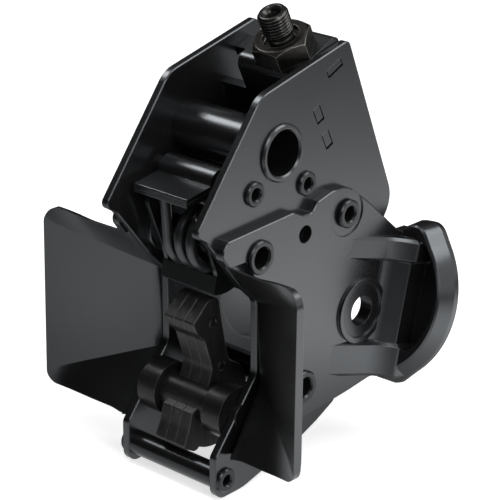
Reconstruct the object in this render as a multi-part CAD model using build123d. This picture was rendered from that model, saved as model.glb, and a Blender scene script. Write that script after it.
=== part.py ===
from math import acos, atan2, cos, hypot, radians, sin, tan
import os

from build123d import *

os.makedirs("parts", exist_ok=True)

# Cab tilt lock with a claw, a spring-loaded pawl and a hydraulic release
# Millimetres; X across the plates, Y towards the rear, Z up
# The drawing's zero is the pawl pivot; the parts are written with the main bush axis as zero

# Plates
WIDTH = 58.0
PLATE_T = 4.0
GUIDE_T = 4.5
IN_X = WIDTH / 2 - PLATE_T
OUT_X = WIDTH / 2
SKIN_X = OUT_X + GUIDE_T
EDGE = 0.5

# Clearances
FIT = 0.05
PLAY = 0.3
SEAT = 0.05
SLOT = 0.8

# Pivots and cross tubes: Y, Z
BUSH = (18.1, 41.0)
TUBE_A = (0.9, 26.9)
TUBE_B = (33.7, 23.4)
PAWL = (0.0, 0.0)
ROCKER = (56.5, 4.6)
STOP = (28.2, -69.3)
FOOT = (-17.0, -100.0)
CLAW = (-4.6, -74.2)
GAUGE = (28.8, 2.45)
REAR = (66.6, -44.3)

BUSH_R = 12.0
BUSH_BORE = 10.0
BUSH_FLANGE = 12.8
BUSH_LIP = 1.6
HEAD_H = 1.8
GAUGE_R = 4.0
REAR_BORE = 7.0
REAR_RING = 15.15
REAR_RING_H = 1.4
REAR_BOSS = 7.3

# Guide wings
WING_X = OUT_X + 47.3
WING_LOW = -89.3
BEND_IN = 4.0
STUB = 14.0

# Rear lip, in its own tilted frame
LIP_TILT = 14.5
LIP_OUT = OUT_X + 33.6
LIP_TOP = 43.2
LIP_LOW = -34.5
LIP_WALL = 3.0
LIP_FLARE = 2.2
LIP_FRONT = 20.0
LIP_FLOOR = 30.0
LIP_BACK = 35.0
RIDGE_RISE = 8.7

# Claw
CLAW_LEAF = 6.0
CLAW_LEAVES = 3
CLAW_PIN_R = 6.0
CLAW_DISC = 22.5
CLAW_BUSH_R = 9.0
CLAW_BUSH_X = 14.2
SPACER_R = 12.2

# Pawl
PAWL_TUBE_R = 6.4
YOKE_LEFT = -20.9
YOKE_RIGHT = 11.4
YOKE_T = 2.2
PAWL_TIP_R = 36.0
WEB_IN = 14.5
WEB_OUT = 22.4

# Torsion spring
WIRE_R = 2.4
COIL_R = 11.6
COIL_FIRST = -9.6
COIL_PITCH = 6.9
COIL_TURNS = 2.3

# Hydraulic release, in its own tilted frame: origin, lean, distance from the middle plane
TILT = 25.0
RAM = (40.4, 76.5)
RAM_X = IN_X - 14.0
SHEET = 4.0
BLOCK_LEFT = RAM_X - 21.0
BLOCK_FRONT = -10.7
BLOCK_REAR = 18.2
CYL_HALF = 12.8
CYL_LOW = -58.0
RAM_U = 3.5
RAM_R = 6.5
RAM_TIP = -71.5
RAM_HEAD = -37.6
HEX_AF = 24.0
HEX_H = 9.5
NIPPLE_R = 6.85
NIPPLE_TOP = 22.5
PORT_R = 2.85

parts = {}


def unit(a, b):
    length = hypot(b[0] - a[0], b[1] - a[1])
    return (b[0] - a[0]) / length, (b[1] - a[1]) / length


def outline(corners):
    """Closed face through (a, b, radius) corners; a fourth item is a point on an arc to the next"""
    spots = []
    for i, (a, b, r, *via) in enumerate(corners):
        before = corners[i - 1]
        after = corners[(i + 1) % len(corners)]
        u = unit((a, b), before)
        v = unit((a, b), after)
        half = acos(max(-1.0, min(1.0, u[0] * v[0] + u[1] * v[1]))) / 2
        if r <= 0 or half > radians(89.5):
            spots.append(((a, b), None, (a, b)))
            continue
        cut = r / tan(half)
        bis = unit((0, 0), (u[0] + v[0], u[1] + v[1]))
        reach = r / sin(half) - r
        mid = (a + bis[0] * reach, b + bis[1] * reach)
        first = (a + u[0] * cut, b + u[1] * cut)
        last = (a + v[0] * cut, b + v[1] * cut)
        spots.append((first, mid, last))
    edges = []
    for i, (first, mid, last) in enumerate(spots):
        if mid is not None:
            edges.append(ThreePointArc(first, mid, last))
        nxt = spots[(i + 1) % len(spots)][0]
        if len(corners[i]) > 3:
            edges.append(ThreePointArc(last, corners[i][3], nxt))
        elif hypot(nxt[0] - last[0], nxt[1] - last[1]) > 1e-6:
            edges.append(Line(last, nxt))
    return Face(Wire(edges))


def side(face, x0, x1):
    """Side-view face made into a solid from x0 to x1"""
    return extrude(Plane.YZ * face, x1 - x0, dir=(1, 0, 0)).moved(Location((x0, 0, 0)))


def slab(corners, x0, x1):
    return side(outline(corners), x0, x1)


def rod(centre, r, x0, x1):
    """Round bar along X"""
    bar = Plane.YZ * Circle(r)
    return extrude(bar, x1 - x0).moved(Location((x0, centre[0], centre[1])))


def turned(centre, profile):
    """Solid of revolution along X from (x, radius) corners"""
    face = Face(Wire.make_polygon([Vector(x, r, 0) for x, r in profile], close=True))
    return revolve(face, Axis.X).moved(Location((0, centre[0], centre[1])))


def turned_both(centre, half):
    """Turned piece that is the same either side of the middle plane"""
    back = [(-x, r) for x, r in reversed(half)]
    return turned(centre, back + half)


def mirrored(shape):
    return mirror(shape, Plane.YZ)


def polar(centre, r, angle):
    return centre[0] + r * cos(radians(angle)), centre[1] + r * sin(radians(angle))


def hollow_rivet(centre, r_mid, r_shank, r_head, bore, x_out):
    """Cross tube with a shoulder on each inner plate and a formed head outside"""
    top = x_out + HEAD_H
    flare = bore + 0.7
    outer = [(IN_X, r_mid), (IN_X, r_shank), (x_out, r_shank), (x_out, r_head)]
    head = [(top - 0.7, r_head), (top, r_head - 0.7), (top, flare), (top - 0.9, bore)]
    inner = [(-x, r) for x, r in reversed(outer + head)]
    return turned(centre, inner + outer + head)


# Side plates
CUT_R = 29.0
PLATE = [
    (-34.0, 16.7, 3.0), (-27.0, 12.3, 8.0), (-7.5, -12.2, 14.0), (3.0, -22.4, 6.0),
    (3.0, -56.7, 8.0), (-22.7, -88.3, 4.0), (-22.7, -108.9, 6.0), (-5.0, -108.2, 25.0),
    (28.0, -98.8, 60.0), (43.0, -92.6, 25.0), (54.6, -86.6, 3.0),
    (REAR[0] - 6.4, REAR[1] - 28.3, 0, (REAR[0] - CUT_R, REAR[1])),
]
PLATE_TOP = [
    (REAR[0] + 12.9, REAR[1] + 26.0, 0), (93.0, 2.0, 14.0), (61.0, 81.9, 3.5), (5.5, 68.3, 14.0),
]

TUBES = {
    "strap_tube": (TUBE_A, 5.0, 4.0, 5.5, 2.6, OUT_X),
    "spacer_tube": (TUBE_B, 5.0, 4.0, 5.5, 2.6, OUT_X),
    "pawl_pivot_tube": (PAWL, PAWL_TUBE_R, 6.2, 7.6, 4.6, SKIN_X),
    "rocker_pivot_tube": (ROCKER, 5.6, 5.0, 6.5, 3.4, SKIN_X),
    "stop_tube": (STOP, 6.5, 6.2, 7.6, 4.4, SKIN_X),
    "bottom_tube": (FOOT, 5.5, 4.0, 5.5, 2.4, OUT_X),
}
HOLES = [(centre, shank + SEAT) for centre, mid, shank, head, bore, x in TUBES.values()]
HOLES += [(CLAW, CLAW_PIN_R + SEAT), (BUSH, BUSH_R + SEAT), (GAUGE, GAUGE_R)]


def lean(u, v):
    """Point of the release's tilted frame in the side view"""
    c, s = cos(radians(TILT)), sin(radians(TILT))
    return RAM[0] + u * c - v * s, RAM[1] + u * s + v * c


def tilted(u0, u1, v0, v1, r=0.0):
    return [(*lean(u0, v0), r), (*lean(u1, v0), r), (*lean(u1, v1), r), (*lean(u0, v1), r)]


# Places where the release bracket's tabs come through the side plates: u0, u1, v0, v1
TABS = [(BLOCK_FRONT, BLOCK_FRONT + SHEET, -25.5, -18.4)]
TABS += [(BLOCK_FRONT, BLOCK_FRONT + SHEET, -39.5, -32.4)]
KEY = (3.6, 13.0, -11.0, -7.8)


def make_side_plate():
    rim = outline(PLATE + PLATE_TOP)
    plate = side(rim, IN_X, OUT_X)
    rims = plate.faces().filter_by(Axis.X).sort_by(Axis.X)[-1].outer_wire().edges()
    plate = chamfer(rims, EDGE)
    rims = plate.faces().filter_by(Axis.X).sort_by(Axis.X)[0].outer_wire().edges()
    plate = chamfer(rims, EDGE)
    for centre, r in HOLES:
        plate -= rod(centre, r, IN_X - 1, OUT_X + 1)
    for u0, u1, v0, v1 in TABS + [KEY]:
        hole = tilted(u0 - SLOT, u1 + SEAT, v0 - SLOT, v1 + SEAT)
        plate -= slab(hole, IN_X - 1, OUT_X + 1)
    return plate


plate_right = make_side_plate()
parts["inner_plate_right"] = plate_right
parts["inner_plate_left"] = mirrored(plate_right)

# Guide plates: the flat part against the side plate
GUIDE = [
    (-18.3, -0.3, 2.0), (-23.4, 6.4, 4.0), (-19.3, 11.8, 3.0), (22.0, 14.2, 3.0),
    (27.7, 11.4, 3.0), (33.4, 10.9, 3.0), (36.6, 14.9, 4.0), (47.0, 17.6, 12.0),
    (57.5, 16.8, 9.0), (70.0, 7.2, 8.0), (88.0, -9.0, 30.0), (93.4, -13.8, 6.0),
    (101.6, -14.2, 0.0), (86.0, -80.0, 0.0), (73.5, -79.7, 12.0), (60.0, -81.6, 30.0),
    (25.3, -85.1, 60.0), (-6.3, -88.2, 0.0), (10.5, -56.2, 10.0), (8.6, -26.3, 10.0),
    (-8.6, -0.3, 0.0),
]

# Bend line on the plate (Y, Z) and the free edge opposite it (Y, Z)
FOLDS = [
    ((-20.2, 2.4), (-23.6, 5.0)),
    ((2.0, -22.0), (-24.0, -4.0)),
    ((4.0, -60.0), (-25.0, -77.0)),
    ((-18.6, -90.2), (-25.2, -86.4)),
]
# Front view of a wing
WING = [
    (OUT_X, -0.2, 0.0), (OUT_X + 21.0, -0.2, 30.0), (OUT_X + 34.0, 2.2, 10.0), (WING_X, 2.6, 8.0),
    (WING_X, -83.0, 6.0), (OUT_X + 23.0, -85.9, 20.0), (OUT_X + 11.0, -87.0, 20.0), (OUT_X, WING_LOW, 0.0),
]


def fold_section(root, free):
    """Bent strip across one fold line: along the plate, round the bend, out along the wing"""
    reach = hypot(free[0] - root[0], free[1] - root[1])
    out = WING_X - OUT_X
    turn = atan2(out, reach)
    normal = (-sin(turn), cos(turn))
    corner = GUIDE_T * tan(turn / 2)
    tip = (reach, out)
    back = (tip[0] + normal[0] * GUIDE_T, tip[1] + normal[1] * GUIDE_T)
    big = BEND_IN + GUIDE_T
    face = outline([
        (-STUB, 0, 0), (0, 0, big), (*tip, 0),
        (*back, 0), (-corner, GUIDE_T, BEND_IN), (-STUB, GUIDE_T, 0),
    ])
    along = (0, (free[0] - root[0]) / reach, (free[1] - root[1]) / reach)
    spot = Plane(origin=(OUT_X, root[0], root[1]), x_dir=along, z_dir=Vector(along).cross(Vector(1, 0, 0)))
    return spot * face


def make_wing():
    sections = [fold_section(root, free) for root, free in FOLDS]
    sheet = loft(sections, ruled=True)
    front = Plane.XZ * outline(WING)
    mask = extrude(front, 100, both=True)
    wing = sheet & mask
    strip = [(-30, WING_LOW, 0), (40, WING_LOW + 3.3, 0), (40, -0.3, 0), (-30, -0.3, 0)]
    stub = sheet & slab(strip, OUT_X, SKIN_X + 0.5)
    return wing, stub


# Gussets at the two ends of the lip, and the height at which it reaches furthest
BAND_TOP = (23.2, 34.2)
BAND_LOW = (-30.5, -14.5)
BAND_BEVEL = 1.4
LIP_MID = 4.6


def lip_face(y, grow):
    """Outline of the rear lip at depth y, grown outwards"""
    out, top, low = LIP_OUT + grow, LIP_TOP + grow, LIP_LOW - grow
    corners = [
        (OUT_X, top - 6.7, 0), (OUT_X + 7.5, top - 0.9, 4.0), (out - 16.3, top, 8.0),
        (out - 10.1, top - 8.4, 0, (out, LIP_MID)), (out - 14.6, low + 7.9, 0),
        (out - 22.1, low - 0.1, 6.0), (OUT_X + 3.5, low + 0.1, 3.0), (OUT_X, low + 3.5, 0),
    ]
    return Plane(origin=(0, y, 0), x_dir=(1, 0, 0), z_dir=(0, -1, 0)) * outline(corners)


def pocket_face(y, grow):
    """Outline of the hollow inside the lip, between the two gussets"""
    out, top, low = LIP_OUT + grow, LIP_TOP + grow, LIP_LOW - grow
    left = SKIN_X + RIDGE_RISE + 2.3
    corners = [
        (OUT_X, BAND_TOP[0] + 2, 0), (left, BAND_TOP[0] + 2, 0), (left, top - 3.6, 1.0),
        (out - 9.9, top - 6.0, 0, (out, LIP_MID)), (out - 9.9, low + 13.0, 0),
        (left, BAND_LOW[1] - BAND_BEVEL, 1.0), (OUT_X, BAND_LOW[1] - BAND_BEVEL, 0),
    ]
    return Plane(origin=(0, y, 0), x_dir=(1, 0, 0), z_dir=(0, -1, 0)) * outline(corners)


def make_lip():
    """Flared rear lip with its two gussets, drawn upright and then tilted"""
    front, back = LIP_FRONT, LIP_BACK
    stages = [
        (front, -LIP_FLARE - 0.8), (front + 0.8, -LIP_FLARE),
        (back - 6.0, 0.0), (back - 3.0, 0.0), (back, -3.0),
    ]
    lip = loft([lip_face(y, grow) for y, grow in stages], ruled=True)
    inner = -LIP_FLARE - LIP_WALL
    lip -= loft([pocket_face(y, inner + g) for y, g in ((front - 0.2, 0.9), (front + 0.8, 0.0))], ruled=True)
    lip -= loft([pocket_face(y, inner) for y in (front + 0.8, LIP_FLOOR)], ruled=True)
    edge = SKIN_X + RIDGE_RISE
    ridge = [(SKIN_X - 0.2, 7.0, 0), (SKIN_X + 0.8, 12.0, 8.0)]
    ridge += [(edge, front - 0.5, 1.2), (edge + 0.4, LIP_FLOOR + 2, 0)]
    ridge += [(OUT_X, LIP_FLOOR + 2, 0), (OUT_X, 7.0, 0)]
    bar = extrude(outline(ridge), BAND_TOP[0] - BAND_LOW[1] + 4, dir=(0, 0, 1))
    lip += bar.moved(Location((0, 0, BAND_LOW[1] - 2)))
    for low, high in (BAND_TOP, BAND_LOW):
        wedge = [(OUT_X, -16.0, 0), (SKIN_X - 0.2, -16.0, 0), (SKIN_X + 4.4, 13.0, 20.0)]
        wedge += [(edge + 2.4, front, 3.0), (edge + 2.4, LIP_FLOOR + 2, 0), (OUT_X, LIP_FLOOR + 2, 0)]
        band = extrude(outline(wedge), high - low, dir=(0, 0, 1)).moved(Location((0, 0, low)))
        rims = band.faces().filter_by(Axis.Z).edges()
        lip += chamfer(rims.filter_by(lambda e: e.center().X > SKIN_X - 0.2), BAND_BEVEL)
    return lip.moved(Location((0, REAR[0], REAR[1]), (-LIP_TILT, 0, 0)))


def make_guide():
    flat = slab(GUIDE, OUT_X, SKIN_X)
    flat = chamfer(flat.faces().filter_by(Axis.X).sort_by(Axis.X)[-1].outer_wire().edges(), EDGE)
    wing, stub = make_wing()
    guide = flat + wing + stub
    guide += make_lip()
    guide += rod(REAR, REAR_RING, OUT_X, SKIN_X + REAR_RING_H)
    guide += rod(REAR, REAR_BORE + 4.0, SKIN_X + REAR_RING_H - REAR_BOSS, SKIN_X)
    guide -= rod(REAR, REAR_BORE, 0, 50)
    guide -= rod(REAR, REAR_RING - 2.6, SKIN_X + REAR_RING_H - 0.8, 50)
    guide -= rod(ROCKER, 10.5, SKIN_X - 0.6, SKIN_X + 4)
    for name in ("pawl_pivot_tube", "rocker_pivot_tube", "stop_tube"):
        centre, mid, shank, head, bore, x_out = TUBES[name]
        guide -= rod(centre, shank + SEAT, OUT_X - 1, SKIN_X + 4)
    guide -= rod(GAUGE, GAUGE_R, OUT_X - 1, SKIN_X + 4)
    return guide


guide_right = make_guide()
parts["guide_plate_right"] = guide_right
parts["guide_plate_left"] = mirrored(guide_right)

for name, (centre, mid, shank, head, bore, x_out) in TUBES.items():
    parts[name] = hollow_rivet(centre, mid, shank, head, bore, x_out)

# Main bush with a rolled lip on each side
end = OUT_X + BUSH_LIP
parts["main_bush"] = turned_both(BUSH, [
    (OUT_X, BUSH_R), (OUT_X, BUSH_FLANGE), (end - 0.8, BUSH_FLANGE), (end, BUSH_FLANGE - 0.8),
    (end, BUSH_BORE + 0.8), (end - 0.8, BUSH_BORE),
])

# Claw pivot: pin, bush and a spacer on each side
claw_bore = CLAW_PIN_R + FIT
parts["claw_pivot_pin"] = turned_both(CLAW, [
    (OUT_X - 0.4, CLAW_PIN_R), (OUT_X, CLAW_PIN_R - 0.4), (OUT_X, 0),
])
parts["claw_bush"] = turned_both(CLAW, [(CLAW_BUSH_X, CLAW_BUSH_R), (CLAW_BUSH_X, claw_bore)])
spacer = turned(CLAW, [
    (CLAW_BUSH_X + 0.2, claw_bore), (CLAW_BUSH_X + 0.2, SPACER_R), (IN_X, SPACER_R), (IN_X, claw_bore),
])
parts["claw_spacer_right"] = spacer
parts["claw_spacer_left"] = mirrored(spacer)

# Claw leaves: hooked arm above, jaw below
CLAW_RIM = [
    (-15.6, -33.6, 1.2), (-5.5, -24.6, 5.0), (0.6, -25.4, 3.0), (2.2, -36.0, 20.0),
    (6.6, -57.0, 6.0), (*polar(CLAW, CLAW_DISC, 38), 0, polar(CLAW, CLAW_DISC, -38)),
    (*polar(CLAW, CLAW_DISC, -114), 3.0),
    (-22.0, -90.2, 1.5), (-18.6, -83.0, 14.0), (-16.6, -75.4, 1.0), (-8.4, -71.0, 6.0), (-3.6, -58.0, 6.0),
    (-8.6, -43.2, 3.0), (-13.2, -38.6, 2.5),
]
CLAW_RIVETS = [(-4.0, -36.0), (1.4, -58.0)]
RIVET_R = 2.2


def make_claw_leaf(x0, x1):
    leaf = slab(CLAW_RIM, x0, x1)
    rims = leaf.faces().filter_by(Axis.X).edges()
    leaf = chamfer(rims, 0.3)
    leaf -= rod(CLAW, CLAW_BUSH_R + SEAT, x0 - 1, x1 + 1)
    for spot in CLAW_RIVETS:
        leaf -= rod(spot, RIVET_R + SEAT, x0 - 1, x1 + 1)
    return leaf


claw_half = CLAW_LEAF * CLAW_LEAVES / 2
for i, place in enumerate(("left", "middle", "right")):
    x0 = -claw_half + i * CLAW_LEAF
    parts["claw_leaf_" + place] = make_claw_leaf(x0, x0 + CLAW_LEAF)
parts["claw_rivets"] = Compound([
    turned_both(spot, [(claw_half + 0.6, RIVET_R), (claw_half + 1.0, RIVET_R - 0.6), (claw_half + 1.0, 0)])
    for spot in CLAW_RIVETS
])

# Pawl: a bent yoke with two cheeks, a web below the spring and a tip between the claw's leaves
TIP_FROM = -55.0
TIP_TO = -43.0
WEB_FROM = -104.0


def ring_part(r_in, r_out, start, stop, x0, x1):
    """Part of a ring about the pawl pivot, between two angles"""
    mid = (start + stop) / 2
    a, b = polar(PAWL, r_in, start), polar(PAWL, r_in, stop)
    c, d = polar(PAWL, r_out, stop), polar(PAWL, r_out, start)
    edges = [
        ThreePointArc(a, polar(PAWL, r_in, mid), b), Line(b, c),
        ThreePointArc(c, polar(PAWL, r_out, mid), d), Line(d, a),
    ]
    return side(Face(Wire(edges)), x0, x1)


CHEEK = [
    (-15.2, 17.0, 1.5), (-10.0, 3.6, 30.0), (-6.8, -4.3, 20.0), (-2.6, -13.6, 8.0),
    (*polar(PAWL, WEB_OUT + 0.4, WEB_FROM), 1.0),
    (*polar(PAWL, WEB_OUT + 4.0, (WEB_FROM + TIP_TO) / 2), 20.0),
    (*polar(PAWL, WEB_OUT + 0.6, TIP_TO), 0), (22.4, -13.0, 3.5), (13.0, -6.0, 6.0), (12.0, 5.5, 6.0),
    (2.0, 12.4, 8.0), (-8.0, 16.2, 1.5),
]
ARM = [
    (4.0, 11.5, 2.0), (14.0, 13.6, 8.0), (30.4, 17.2, 1.5),
    (31.9, 12.9, 1.2), (18.0, 6.5, 8.0), (9.0, -8.0, 3.0),
]


def make_yoke():
    left = slab(CHEEK, YOKE_LEFT, YOKE_LEFT + YOKE_T)
    right = slab(CHEEK, YOKE_RIGHT - YOKE_T, YOKE_RIGHT)
    web = ring_part(WEB_IN, WEB_OUT, WEB_FROM, TIP_TO, YOKE_LEFT, YOKE_RIGHT)
    tip = ring_part(WEB_OUT - 2, PAWL_TIP_R, TIP_FROM, TIP_TO, -claw_half - 1, YOKE_RIGHT)
    arm = slab(ARM, YOKE_RIGHT - YOKE_T, YOKE_RIGHT + 4.5)
    yoke = left + right + web + tip + arm
    return yoke - rod(PAWL, PAWL_TUBE_R + FIT, -IN_X, IN_X)


parts["pawl_yoke"] = make_yoke()
collar_bore = PAWL_TUBE_R + SEAT
parts["pawl_collar_left"] = turned(PAWL, [
    (-IN_X, collar_bore), (-IN_X, 11.0), (YOKE_LEFT - 0.2, 11.0), (YOKE_LEFT - 0.2, collar_bore),
])
arm_end = YOKE_RIGHT + 4.5
parts["pawl_collar_right"] = turned(PAWL, [
    (arm_end + 0.2, collar_bore), (arm_end + 0.2, 8.5), (IN_X, 8.5), (IN_X, collar_bore),
])

# Torsion spring: a leg up to the strap, coils round the pivot tube, the end on the pawl's web
LEG_TOP = 21.4


def make_spring():
    coil = Helix(COIL_PITCH, COIL_PITCH * COIL_TURNS, COIL_R)
    coil = Plane(origin=(COIL_FIRST, 0, 0), x_dir=(0, -1, 0), z_dir=(1, 0, 0)) * coil
    start, along = coil @ 0, coil % 0
    top = start - along * (LEG_TOP / abs(along.Z))
    path = Wire([Edge.make_line(top, start), *coil.edges()])
    return sweep(Plane(origin=top, z_dir=along) * Circle(WIRE_R), path=path, is_frenet=True)


parts["torsion_spring"] = make_spring()

# Spring strap: double sheet wrapped round its tube
STRAP_L, STRAP_R = -21.0, 10.5
STRAP_T = 2.0


def make_strap():
    wrap_in = 5.0 + SEAT
    wrap = rod(TUBE_A, wrap_in + STRAP_T, STRAP_L, STRAP_R)
    sheets = [(-20.6, 21.1, 0.6), (-20.6, 25.3, 0.6), (-1.0, 28.2, 0), (-1.0, 23.4, 0)]
    gap = [(-24.0, 22.75, 0), (-24.0, 23.15, 0), (-4.5, 25.9, 0), (-4.5, 25.5, 0)]
    leaves = slab(sheets, STRAP_L, STRAP_R)
    slit = slab(gap, STRAP_L - 1, STRAP_R + 1)
    return leaves - slit + wrap - rod(TUBE_A, wrap_in, -IN_X, IN_X)


parts["spring_strap"] = make_strap()

# Release bracket: bent sheet with a top, a front wall and tabs through the side plates


def make_bracket():
    wall_low = -42.0
    shell = [
        (*lean(BLOCK_FRONT, 0), 5.0), (*lean(BLOCK_REAR, 0), 3.0), (*lean(BLOCK_REAR, -16.0), 0),
        (*lean(BLOCK_REAR - SHEET, -16.0), 0), (*lean(BLOCK_REAR - SHEET, -SHEET), 1.0),
        (*lean(BLOCK_FRONT + SHEET, -SHEET), 1.0), (*lean(BLOCK_FRONT + SHEET, wall_low), 0),
        (*lean(BLOCK_FRONT, wall_low), 0),
    ]
    bracket = slab(shell, BLOCK_LEFT, IN_X)
    wide = tilted(BLOCK_FRONT, BLOCK_FRONT + SHEET, wall_low, -16.5)
    bracket += slab(wide, -IN_X, BLOCK_LEFT)
    for u0, u1, v0, v1 in TABS:
        bracket += slab(tilted(u0, u1, v0, v1), -OUT_X + 0.4, OUT_X - 0.4)
    return bracket - ram_rod(NIPPLE_R - 1.0 + SEAT, -SHEET - 1, 1)


def ram_plane(v, u=0.0, x=None):
    """Plane square to the release's axis at height v"""
    y, z = lean(u, v)
    up = (0, -sin(radians(TILT)), cos(radians(TILT)))
    return Plane(origin=(RAM_X if x is None else x, y, z), x_dir=(1, 0, 0), z_dir=up)


def ram_rod(r, v0, v1, u=0.0):
    return extrude(ram_plane(v0, u) * Circle(r), v1 - v0)


def ram_turned(profile, u=0.0):
    """Solid of revolution about an axis of the release, from (radius, v) corners"""
    face = Face(Wire.make_polygon([Vector(r, 0, v) for r, v in profile], close=True))
    solid = revolve(face, Axis.Z)
    return solid.moved(Location((RAM_X, *lean(u, 0.0)), (TILT, 0, 0)))


parts["release_bracket"] = make_bracket()
cyl_top = -SHEET
u0, u1, v0, v1 = KEY
cyl_rear = BLOCK_REAR - SHEET - SEAT
block = tilted(BLOCK_FRONT + SHEET + SEAT, cyl_rear, CYL_LOW, cyl_top, 1.4)
cylinder = slab(block, RAM_X - CYL_HALF, RAM_X + CYL_HALF)
cylinder = fillet(cylinder.edges().filter_by(Axis((0, 0, 0), ram_plane(0.0).z_dir)), 3.0)
cylinder -= ram_rod(RAM_R + FIT, CYL_LOW - 1, -24.0, RAM_U)
cylinder -= ram_rod(PORT_R, -30.0, 1)
cylinder -= slab(tilted(u0 - SEAT, 20.0, v0 - SEAT, v1 + SEAT), -IN_X, IN_X)
parts["release_cylinder"] = cylinder
parts["cylinder_key"] = slab(tilted(u0, u1, v0, v1, 0.4), -OUT_X + 0.4, OUT_X - 0.4)
groove = (RAM_HEAD - 5.0, RAM_HEAD - 2.4)
parts["plunger"] = ram_turned([
    (0, RAM_TIP), (RAM_R - 1.2, RAM_TIP), (RAM_R, RAM_TIP + 1.2),
    (RAM_R, groove[0]), (RAM_R - 1.6, groove[0]), (RAM_R - 1.6, groove[1]), (RAM_R, groove[1]),
    (RAM_R, RAM_HEAD - 0.8), (RAM_R - 0.8, RAM_HEAD), (0, RAM_HEAD),
], RAM_U)
parts["plunger_seal"] = ram_turned([
    (RAM_R - 1.55, groove[0] + 0.1), (RAM_R - 0.05, groove[0] + 0.1),
    (RAM_R - 0.05, groove[1] - 0.1), (RAM_R - 1.55, groove[1] - 0.1),
], RAM_U)

# Union on top of the bracket: hexagon, threaded nipple
hexagon = extrude(ram_plane(0.0) * RegularPolygon(HEX_AF / 2, 6, major_radius=False, rotation=0), HEX_H)
crown = ram_turned([
    (0, 0), (HEX_AF / 2 + 1.9, 0), (HEX_AF / 2 + 1.9, HEX_H - 1.6), (HEX_AF / 2 - 0.6, HEX_H), (0, HEX_H),
])
union = hexagon & crown
union -= ram_rod(8.4, HEX_H - 2.6, HEX_H + 1)
union -= ram_rod(NIPPLE_R - 1.0 + SEAT, -1, HEX_H)
parts["union_hexagon"] = union
parts["union_nipple"] = ram_turned([
    (PORT_R, cyl_top), (NIPPLE_R - 1.0, cyl_top), (NIPPLE_R - 1.0, HEX_H - 0.6),
    (NIPPLE_R, HEX_H + 0.4), (NIPPLE_R, NIPPLE_TOP - 1.0), (NIPPLE_R - 1.0, NIPPLE_TOP),
    (PORT_R + 1.6, NIPPLE_TOP), (PORT_R, NIPPLE_TOP - 2.2),
])

# Release rocker: a bell crank on its tube, pushed by the plunger, lifting the pawl's arm
ROCKER_X0 = RAM_X - 3.0
ROCKER_X1 = RAM_X + 5.5
ROCKER_BORE = TUBES["rocker_pivot_tube"][1]
SLEEVE_R = 7.4
push_r = 3.0
lift_r = 2.5
push = lean(RAM_U + 1.2, RAM_TIP - PLAY - push_r)
lift = (30.0, 8.9)
elbow = (37.5, -0.5)
heel = (ROCKER[0] + 4.0 * sin(radians(TILT)), ROCKER[1] - 4.0 * cos(radians(TILT)))


def taper_bar(a, ra, b, rb, x0, x1):
    """Flat bar with round ends of two sizes"""
    u = unit(a, b)
    n = (-u[1], u[0])
    quad = [
        (a[0] + n[0] * ra, a[1] + n[1] * ra, 0), (b[0] + n[0] * rb, b[1] + n[1] * rb, 0),
        (b[0] - n[0] * rb, b[1] - n[1] * rb, 0), (a[0] - n[0] * ra, a[1] - n[1] * ra, 0),
    ]
    return slab(quad, x0, x1) + rod(a, ra, x0, x1) + rod(b, rb, x0, x1)


def make_rocker():
    crank = taper_bar(heel, 4.5, push, push_r, ROCKER_X0, ROCKER_X1)
    crank += taper_bar(ROCKER, 7.5, elbow, 3.4, ROCKER_X0, ROCKER_X1)
    crank += taper_bar(elbow, 3.4, lift, lift_r, ROCKER_X0, ROCKER_X1)
    crank += rod(ROCKER, 9.2, ROCKER_X0 - 1.5, ROCKER_X1 + 1.5)
    return crank - rod(ROCKER, ROCKER_BORE + FIT, -IN_X, IN_X)


parts["release_rocker"] = make_rocker()
sleeve_bore = ROCKER_BORE + SEAT
parts["rocker_sleeve_left"] = turned(ROCKER, [
    (-IN_X, sleeve_bore), (-IN_X, SLEEVE_R), (ROCKER_X0 - 1.7, SLEEVE_R), (ROCKER_X0 - 1.7, sleeve_bore),
])
parts["rocker_sleeve_right"] = turned(ROCKER, [
    (ROCKER_X1 + 1.7, sleeve_bore), (ROCKER_X1 + 1.7, SLEEVE_R), (IN_X, SLEEVE_R), (IN_X, sleeve_bore),
])

shift = Location((0, -BUSH[0], -BUSH[1]))
for name, shape in parts.items():
    export_step(shape.moved(shift), "parts/" + name + ".step")
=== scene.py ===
import math

import bpy
from mathutils import Euler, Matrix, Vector


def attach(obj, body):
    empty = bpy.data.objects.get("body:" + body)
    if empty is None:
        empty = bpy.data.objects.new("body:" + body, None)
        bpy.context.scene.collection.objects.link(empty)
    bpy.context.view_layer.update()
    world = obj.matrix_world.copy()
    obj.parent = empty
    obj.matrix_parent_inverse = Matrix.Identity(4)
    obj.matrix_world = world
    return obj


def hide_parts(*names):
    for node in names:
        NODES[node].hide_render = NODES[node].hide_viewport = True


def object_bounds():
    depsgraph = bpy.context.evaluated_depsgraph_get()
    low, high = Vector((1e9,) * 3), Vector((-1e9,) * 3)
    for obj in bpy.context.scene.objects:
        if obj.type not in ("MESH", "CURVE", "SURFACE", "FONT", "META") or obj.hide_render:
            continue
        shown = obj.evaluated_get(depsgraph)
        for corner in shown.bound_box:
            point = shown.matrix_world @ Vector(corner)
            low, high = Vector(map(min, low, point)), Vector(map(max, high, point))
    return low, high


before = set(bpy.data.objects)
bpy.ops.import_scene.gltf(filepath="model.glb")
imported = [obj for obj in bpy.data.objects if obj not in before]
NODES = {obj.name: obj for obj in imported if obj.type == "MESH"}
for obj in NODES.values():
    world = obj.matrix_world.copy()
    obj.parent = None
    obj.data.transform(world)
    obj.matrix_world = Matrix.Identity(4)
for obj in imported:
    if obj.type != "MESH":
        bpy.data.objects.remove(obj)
cad_box = [list(c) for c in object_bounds()]

MM = 0.001

# Sockets of the Mix node where it blends colours
MIX_FACTOR, MIX_A, MIX_B, MIX_RESULT = 0, 6, 7, 2


# Helpers for objects and material nodes
def add_object(name, data):
    made = bpy.data.objects.new(name, data)
    bpy.context.scene.collection.objects.link(made)
    return made


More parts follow.
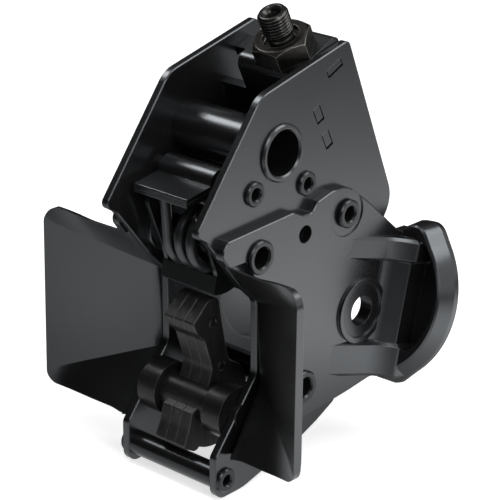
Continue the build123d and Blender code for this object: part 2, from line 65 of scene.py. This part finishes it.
def clear(tree):
    for made in list(tree.nodes):
        tree.nodes.remove(made)


def new_material(name):
    mat = bpy.data.materials.new(name)
    mat.use_nodes = True
    tree = mat.node_tree
    clear(tree)
    out = tree.nodes.new("ShaderNodeOutputMaterial")
    shader = tree.nodes.new("ShaderNodeBsdfPrincipled")
    link(tree, shader.outputs["BSDF"], out.inputs["Surface"])
    return mat, tree, shader


def link(tree, a, b):
    tree.links.new(a, b)


def node(tree, kind, **values):
    """New node; a value sets the node's property of that name, or else its input"""
    made = tree.nodes.new(kind)
    for key, value in values.items():
        if hasattr(made, key):
            setattr(made, key, value)
        else:
            made.inputs[key.replace("_", " ")].default_value = value
    return made


def feed(tree, value, socket):
    """Set a number or a colour on a socket, or link an output to it"""
    if isinstance(value, tuple):
        socket.default_value = (*value, 1.0)
    elif isinstance(value, (int, float)):
        socket.default_value = value
    else:
        link(tree, value, socket)


def coords(tree):
    return node(tree, "ShaderNodeTexCoord").outputs["Object"]


def noise(tree, where, scale, detail, rough=0.5):
    made = node(tree, "ShaderNodeTexNoise", Scale=scale, Detail=detail, Roughness=rough)
    link(tree, where, made.inputs["Vector"])
    return made.outputs["Fac"]


def ramp(tree, value, stops):
    """Colour ramp from (position, colour or grey level) stops"""
    made = node(tree, "ShaderNodeValToRGB")
    while len(made.color_ramp.elements) < len(stops):
        made.color_ramp.elements.new(0.5)
    for element, (at, colour) in zip(made.color_ramp.elements, stops):
        element.position = at
        element.color = (*colour, 1.0) if isinstance(colour, tuple) else (colour, colour, colour, 1.0)
    link(tree, value, made.inputs["Fac"])
    return made.outputs["Color"]


def spread(tree, value, span, onto):
    """Map a value from one span onto another, held at both ends"""
    made = node(
        tree, "ShaderNodeMapRange", From_Min=span[0], From_Max=span[1], To_Min=onto[0], To_Max=onto[1]
    )
    link(tree, value, made.inputs["Value"])
    return made.outputs["Result"]


def mix(tree, factor, a, b):
    made = node(tree, "ShaderNodeMix", data_type="RGBA")
    link(tree, factor, made.inputs[MIX_FACTOR])
    feed(tree, a, made.inputs[MIX_A])
    feed(tree, b, made.inputs[MIX_B])
    return made.outputs[MIX_RESULT]


def maths(tree, how, a, b):
    made = node(tree, "ShaderNodeMath", operation=how)
    feed(tree, a, made.inputs[0])
    feed(tree, b, made.inputs[1])
    return made.outputs[0]


def times(tree, a, b):
    return maths(tree, "MULTIPLY", a, b)


def larger(tree, a, b):
    return maths(tree, "MAXIMUM", a, b)


# Cosine between the rounded and the true normal from which a face counts as flat, and the depth of relief
FLAT = 0.995
BUMP_DEPTH = 0.2 * MM


def edge_mask(tree, radius, sharp):
    """Rounded normal, and a mask that is 1 on edges and 0 on flat faces"""
    soft = node(tree, "ShaderNodeBevel", samples=6, Radius=radius)
    flat = node(tree, "ShaderNodeNewGeometry")
    dot = node(tree, "ShaderNodeVectorMath", operation="DOT_PRODUCT")
    link(tree, soft.outputs["Normal"], dot.inputs[0])
    link(tree, flat.outputs["True Normal"], dot.inputs[1])
    return soft.outputs["Normal"], spread(tree, dot.outputs["Value"], (sharp, FLAT), (1.0, 0.0))


def bumped(tree, shader, height, strength, normal):
    bump = node(tree, "ShaderNodeBump", Strength=strength, Distance=BUMP_DEPTH)
    link(tree, height, bump.inputs["Height"])
    link(tree, normal, bump.inputs["Normal"])
    link(tree, bump.outputs["Normal"], shader.inputs["Normal"])


# Paint: scales of its patterns, its darkest tone and its roughness as shares of what a finish gives,
# the strength of its relief, the pale edge colour (rubbed metal and painted highlight) and the tint of its
# gloss
PAINT_CLOUD = 22.0
PAINT_GRAIN = 900.0
PAINT_PEEL = 420.0
PAINT_RUB_AND_GLINT = 160.0
PAINT_DARKEST = 0.75
PAINT_ROUGH = (0.85, 1.2)
GRAIN_ROUGH = 0.05
PEEL_STRENGTH = 0.10
RUBBED_METAL_AND_GLINT = (0.16, 0.16, 0.165)
GLOSS_TINT = (0.89, 0.95, 1.0, 1.0)


def paint(name, base, lift, rough, edge=0.4 * MM, wear_and_glint=0.35, gloss=0.85):
    """Dark coat from its main and its palest tone: faint orange peel, and edges lighter in patches, partly
    worn and partly painted highlight
    """
    mat, tree, shader = new_material(name)
    where = coords(tree)
    cloud = noise(tree, where, PAINT_CLOUD, detail=4.0)
    grain = noise(tree, where, PAINT_GRAIN, detail=2.0)
    peel = noise(tree, where, PAINT_PEEL, detail=2.0)
    dark = tuple(c * PAINT_DARKEST for c in base)
    colour = ramp(tree, cloud, [(0.3, dark), (0.55, base), (0.8, lift)])
    normal, edges = edge_mask(tree, edge, sharp=0.75)
    rub_and_glint = noise(tree, where, PAINT_RUB_AND_GLINT, detail=5.0, rough=0.65)
    patchy = ramp(tree, rub_and_glint, [(0.42, 0.0), (0.62, 1.0)])
    # Lighter edges in patches: partly worn paint, partly painted highlight
    worn_and_glint = times(tree, times(tree, edges, patchy), wear_and_glint)
    link(tree, mix(tree, worn_and_glint, colour, RUBBED_METAL_AND_GLINT), shader.inputs["Base Color"])
    shine = spread(tree, cloud, (0.25, 0.8), [rough * share for share in PAINT_ROUGH])
    link(tree, maths(tree, "ADD", shine, times(tree, grain, GRAIN_ROUGH)), shader.inputs["Roughness"])
    shader.inputs["Specular IOR Level"].default_value = gloss
    shader.inputs["Specular Tint"].default_value = GLOSS_TINT
    bumped(tree, shader, peel, PEEL_STRENGTH, normal)
    return mat


# Steel: scales of its patterns, its darkest and palest tone and its roughness as shares of what a
# finish gives, and the strength of its relief
STEEL_LINES = 9.0
STEEL_CLOUD = 45.0
STEEL_DARKEST = 0.55
STEEL_PALEST = 1.9
STEEL_ROUGH = (0.8, 1.25)
GRAIN_STRENGTH = 0.18


def steel(name, base, rough, streak, edge, bright, wear_and_glint, metal):
    """Dark oiled steel: a grain that the streak's three scales draw out, and edges lighter, partly rubbed
    bright and partly painted highlight
    """
    mat, tree, shader = new_material(name)
    where = coords(tree)
    stretch = node(tree, "ShaderNodeMapping", Scale=streak)
    link(tree, where, stretch.inputs["Vector"])
    lines = noise(tree, stretch.outputs["Vector"], STEEL_LINES, detail=6.0, rough=0.7)
    cloud = noise(tree, where, STEEL_CLOUD, detail=4.0)
    dark = tuple(c * STEEL_DARKEST for c in base)
    pale = tuple(c * STEEL_PALEST for c in base)
    colour = ramp(tree, lines, [(0.3, dark), (0.55, base), (0.78, pale)])
    normal, edges = edge_mask(tree, edge, sharp=0.7)
    # Lighter edges: partly rubbed steel, partly painted highlight
    link(tree, mix(tree, times(tree, edges, wear_and_glint), colour, bright), shader.inputs["Base Color"])
    shader.inputs["Metallic"].default_value = metal
    shine = spread(tree, cloud, (0.3, 0.75), [rough * share for share in STEEL_ROUGH])
    link(tree, shine, shader.inputs["Roughness"])
    bumped(tree, shader, lines, GRAIN_STRENGTH, normal)
    return mat


# The edge sizes, wear shares and pale edge colours below make edges lighter: partly wear, partly painted
# highlight on edges and rivet rims
BLACK = paint("satin_black_paint", base=(0.010, 0.010, 0.0105), lift=(0.014, 0.014, 0.015), rough=0.22)
TUBE_BLACK = paint(
    "tube_black_paint", base=(0.009, 0.009, 0.0095), lift=(0.013, 0.013, 0.014), rough=0.20,
    edge=0.5 * MM, wear_and_glint=0.9,
)
RIVET = paint(
    "rivet_head_paint", base=(0.010, 0.010, 0.0105), lift=(0.018, 0.018, 0.019), rough=0.20,
    edge=0.6 * MM, wear_and_glint=1.0, gloss=0.45,
)
LEAF = steel(
    "claw_leaf_steel", base=(0.044, 0.044, 0.043), rough=0.42, streak=(60.0, 60.0, 6.0),
    edge=0.3 * MM, bright=(0.42, 0.42, 0.42), wear_and_glint=1.0, metal=0.5,
)
PIN = steel(
    "turned_dark_steel", base=(0.026, 0.026, 0.0265), rough=0.36, streak=(8.0, 90.0, 90.0),
    edge=0.3 * MM, bright=(0.24, 0.24, 0.25), wear_and_glint=0.8, metal=0.5,
)
WIRE = paint(
    "spring_wire_paint", base=(0.030, 0.031, 0.032), lift=(0.045, 0.045, 0.046), rough=0.30,
    edge=0.3 * MM, wear_and_glint=0.2,
)
# The fitting's pale edges and thread crests are mostly painted highlight on the hexagon's chamfers and the
# thread, with a little wear
OXIDE = steel(
    "fitting_dark_oxide", base=(0.021, 0.0196, 0.0175), rough=0.30, streak=(30.0, 30.0, 30.0),
    edge=0.8 * MM, bright=(0.50, 0.47, 0.43), wear_and_glint=1.0, metal=0.6,
)
THREAD = steel(
    "thread_dark_oxide", base=(0.030, 0.0295, 0.0285), rough=0.22, streak=(30.0, 30.0, 30.0),
    edge=0.2 * MM, bright=(0.45, 0.44, 0.42), wear_and_glint=0.7, metal=0.75,
)
SEAL = paint(
    "seal_rubber", base=(0.014, 0.014, 0.014), lift=(0.018, 0.018, 0.018), rough=0.6,
    edge=0.2 * MM, wear_and_glint=0.0,
)

FINISH = {
    BLACK: [
        "inner_plate_left", "inner_plate_right", "guide_plate_left", "guide_plate_right", "spring_strap",
        "release_bracket", "cylinder_key", "pawl_yoke", "release_cylinder",
    ],
    RIVET: ["strap_tube", "spacer_tube", "pawl_pivot_tube", "rocker_pivot_tube", "stop_tube", "bottom_tube"],
    TUBE_BLACK: [
        "main_bush", "pawl_collar_left", "pawl_collar_right", "rocker_sleeve_left", "rocker_sleeve_right",
    ],
    LEAF: ["claw_leaf_left", "claw_leaf_middle", "claw_leaf_right"],
    PIN: [
        "claw_pivot_pin", "claw_bush", "claw_spacer_left", "claw_spacer_right", "claw_rivets", "plunger",
        "release_rocker",
    ],
    WIRE: ["torsion_spring"],
    OXIDE: ["union_hexagon"],
    THREAD: ["union_nipple"],
    SEAL: ["plunger_seal"],
}


def dress(name, mat):
    thing = NODES[name]
    for slot in thing.material_slots:
        slot.material = mat
    if not thing.material_slots:
        thing.data.materials.append(mat)


for mat, names in FINISH.items():
    for name in names:
        dress(name, mat)

# The union's nipple with its outer thread, in millimetres. The release's axis is tilted, and its foot is
# given from the main bush, where the frame has its origin.
TILT = math.radians(25.0)
BUSH = Vector((0.0, 18.1, 41.0))
RAM = Vector((11.0, 40.4, 76.5)) - BUSH
THREAD_R = 6.85
ROOT_R = 6.0
PITCH = 1.5
THREAD_LOW = 11.6
THREAD_HIGH = 21.6
RUN_IN = 1.2
PORT_R = 2.85

# Shares of the thread's half turn that its root takes and its flank rises over
ROOT_SHARE = 0.12
FLANK_SHARE = 0.76

# Plain rings under and over the thread, as (radius, height), the last ones down inside the port
SHANK_RINGS = [(5.8, 7.0), (5.8, 9.4), (5.5, 9.8), (5.5, 10.8)]
TIP_RINGS = [
    (5.9, 22.3), (5.5, 22.5), (4.7, 22.5), (4.4, 22.45),
    (PORT_R + 0.2, 20.4), (PORT_R, 20.1), (PORT_R, 4.0),
]
RINGS_PER_TURN = 10
SIDES = 72


def ring_mesh(name, rings, material):
    """Smooth surface through closed rings of as many points each"""
    count = len(rings[0])
    verts = [v for ring in rings for v in ring]
    faces = []
    for i in range(len(rings) - 1):
        for j in range(count):
            k = (j + 1) % count
            faces.append((i * count + j, i * count + k, (i + 1) * count + k, (i + 1) * count + j))
    mesh = bpy.data.meshes.new(name)
    mesh.from_pydata([tuple(v) for v in verts], [], faces)
    mesh.validate()
    mesh.update()
    for poly in mesh.polygons:
        poly.use_smooth = True
    mesh.materials.append(material)
    return add_object(name, mesh)


def on_axis(r, angle, v):
    """Point at a radius, an angle and a height on the release's axis"""
    local = Vector((r * math.cos(angle), r * math.sin(angle), v))
    return (RAM + Euler((TILT, 0, 0)).to_matrix() @ local) * MM


def thread_radius(v, angle):
    phase = (v / PITCH - angle / (2 * math.pi)) % 1.0
    flank = 1.0 - abs(2.0 * phase - 1.0)
    depth = min(1.0, max(0.0, (flank - ROOT_SHARE) / FLANK_SHARE))
    run_in = min(1.0, max(0.0, (v - THREAD_LOW) / RUN_IN))
    return ROOT_R + (THREAD_R - ROOT_R) * depth * run_in


def threaded_nipple():
    length = THREAD_HIGH - THREAD_LOW
    steps = int(length / PITCH * RINGS_PER_TURN)
    angles = [2 * math.pi * j / SIDES for j in range(SIDES)]
    rings = [[on_axis(r, a, v) for a in angles] for r, v in SHANK_RINGS]
    for i in range(steps + 1):
        v = THREAD_LOW + length * i / steps
        rings.append([on_axis(thread_radius(v, a), a, v) for a in angles])
    rings += [[on_axis(r, a, v) for a in angles] for r, v in TIP_RINGS]
    return ring_mesh("threaded_nipple", rings, THREAD)


nipple = threaded_nipple()
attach(nipple, "frame")
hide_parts("union_nipple")

# Camera at the photograph's angle
AIM = Vector((0.07, 1.9, -41.13)) * MM
AWAY = 0.97486
AZIMUTH = math.radians(43.54)
ELEVATION_DEGREES = 20.54
ELEVATION = math.radians(ELEVATION_DEGREES)
camera_data = bpy.data.cameras.new("camera")
camera = add_object("camera", camera_data)
camera_data.sensor_width = 36.0
camera_data.lens = 160.3
camera_data.shift_x = 0.0299
camera_data.shift_y = -0.0473
camera_data.clip_start = 0.01
camera_data.clip_end = 50.0
level = math.cos(ELEVATION)
outwards = Vector((math.sin(AZIMUTH) * level, -math.cos(AZIMUTH) * level, math.sin(ELEVATION)))
camera.location = AIM + outwards * AWAY
camera.rotation_euler = (math.radians(90 - ELEVATION_DEGREES), 0.0, AZIMUTH)
bpy.context.scene.camera = camera

# Floor: white to the camera with the part's shadow on it, and pools of light to the gloss of the paint
FLOOR_HALF = 6.0
FLOOR_GAP = 0.2 * MM
FLOOR_GLOW = 0.68
POOL_POWER = 2.0
floor_z = cad_box[0][2] - FLOOR_GAP


def seen(tree, path):
    """1 for the rays that see the background: those of the camera and those through glass"""
    return larger(tree, path.outputs["Is Camera Ray"], path.outputs["Is Transmission Ray"])


def pool(tree, centre, stops):
    """Brightness by the distance in metres from a point of the floor"""
    gap = node(tree, "ShaderNodeVectorMath", operation="DISTANCE")
    link(tree, coords(tree), gap.inputs[0])
    gap.inputs[1].default_value = (*centre, floor_z)
    return ramp(tree, gap.outputs["Value"], stops)


def pools_of_light(tree):
    """One pool behind to the right, one in front that fades to the left, and the part's own shade"""
    behind = pool(tree, (0.15, 0.17), [(0.05, 0.98), (0.28, 0.42), (0.45, 0.24), (0.8, 0.06)])
    ahead = pool(tree, (0.0, -0.32), [(0.14, 0.58), (0.40, 0.03)])
    shaded = pool(tree, (0.0, 0.08), [(0.04, 0.2), (0.125, 1.0)])
    place = node(tree, "ShaderNodeSeparateXYZ")
    link(tree, coords(tree), place.inputs[0])
    ahead = times(tree, ahead, spread(tree, place.outputs["X"], (-0.10, -0.02), (0.15, 1.0)))
    return times(tree, larger(tree, behind, ahead), shaded)


def floor_material():
    mat, tree, shader = new_material("pale_floor")
    cloud = noise(tree, coords(tree), scale=2.0, detail=2.0)
    tone = ramp(tree, cloud, [(0.3, 0.84), (0.7, 0.87)])
    link(tree, tone, shader.inputs["Base Color"])
    shader.inputs["Roughness"].default_value = 0.9
    shader.inputs["Specular IOR Level"].default_value = 0.1
    path = node(tree, "ShaderNodeLightPath")
    glow = node(tree, "ShaderNodeEmission")
    link(tree, times(tree, seen(tree, path), FLOOR_GLOW), glow.inputs["Strength"])
    both = node(tree, "ShaderNodeAddShader")
    link(tree, shader.outputs["BSDF"], both.inputs[0])
    link(tree, glow.outputs["Emission"], both.inputs[1])
    mirror = node(tree, "ShaderNodeEmission")
    link(tree, times(tree, pools_of_light(tree), POOL_POWER), mirror.inputs["Strength"])
    split = node(tree, "ShaderNodeMixShader")
    link(tree, path.outputs["Is Glossy Ray"], split.inputs[0])
    link(tree, both.outputs["Shader"], split.inputs[1])
    link(tree, mirror.outputs["Emission"], split.inputs[2])
    link(tree, split.outputs["Shader"], tree.nodes["Material Output"].inputs["Surface"])
    return mat


signs = ((-1, -1), (1, -1), (1, 1), (-1, 1))
mesh = bpy.data.meshes.new("floor")
mesh.from_pydata([(x * FLOOR_HALF, y * FLOOR_HALF, floor_z) for x, y in signs], [], [(0, 1, 2, 3)])
mesh.update()
mesh.materials.append(floor_material())
floor = add_object("floor", mesh)

# World: white background, a plain even fill, and a room that only the gloss of the part shows
ROOM_FILL = 0.12
world = bpy.data.worlds.new("studio")
bpy.context.scene.world = world
world.use_nodes = True
tree = world.node_tree
clear(tree)
out = tree.nodes.new("ShaderNodeOutputWorld")
sky = node(tree, "ShaderNodeBackground")
sky.inputs["Color"].default_value = (1.0, 1.0, 1.0, 1.0)

# The bright side of the room is to the right and overhead, and the left side is a dark wall
look = node(tree, "ShaderNodeSeparateXYZ")
link(tree, node(tree, "ShaderNodeTexCoord").outputs["Generated"], look.inputs[0])
right = spread(tree, look.outputs["X"], (-0.1, 0.6), (0.03, 1.0))
right = times(tree, right, spread(tree, look.outputs["Y"], (-0.6, 0.1), (0.05, 1.0)))
above = spread(tree, look.outputs["Z"], (0.55, 0.85), (0.0, 0.3))
path = node(tree, "ShaderNodeLightPath")
glossy = path.outputs["Is Glossy Ray"]
room = times(tree, larger(tree, right, above), glossy)
fill = times(tree, maths(tree, "SUBTRACT", 1.0, glossy), ROOM_FILL)
link(tree, larger(tree, seen(tree, path), larger(tree, room, fill)), sky.inputs["Strength"])
link(tree, sky.outputs["Background"], out.inputs["Surface"])

# Soft studio lamps, which face the part's middle unless another aim is given
MIDDLE = (0.0, 0.0, -0.04)


def soft_light(name, where, size, watts, aim=MIDDLE):
    data = bpy.data.lights.new(name, "AREA")
    data.shape = "RECTANGLE"
    data.size, data.size_y = size
    data.energy = watts
    lamp = add_object(name, data)
    lamp.location = where
    lamp.rotation_euler = (Vector(aim) - Vector(where)).to_track_quat("-Z", "Y").to_euler()


soft_light("overhead", where=(-0.95, -0.15, 1.05), size=(0.42, 0.6), watts=5.8)
soft_light("rear_right", where=(0.8, 0.8, 1.2), size=(1.0, 1.0), watts=12.0, aim=(0.25, 0.25, -0.14))
soft_light("right", where=(1.5, -0.5, 0.8), size=(0.8, 0.8), watts=9.0)
soft_light("zenith", where=(0.05, -0.3, 1.2), size=(0.3, 0.3), watts=2.5)
bpy.context.scene.view_settings.view_transform = "Standard"
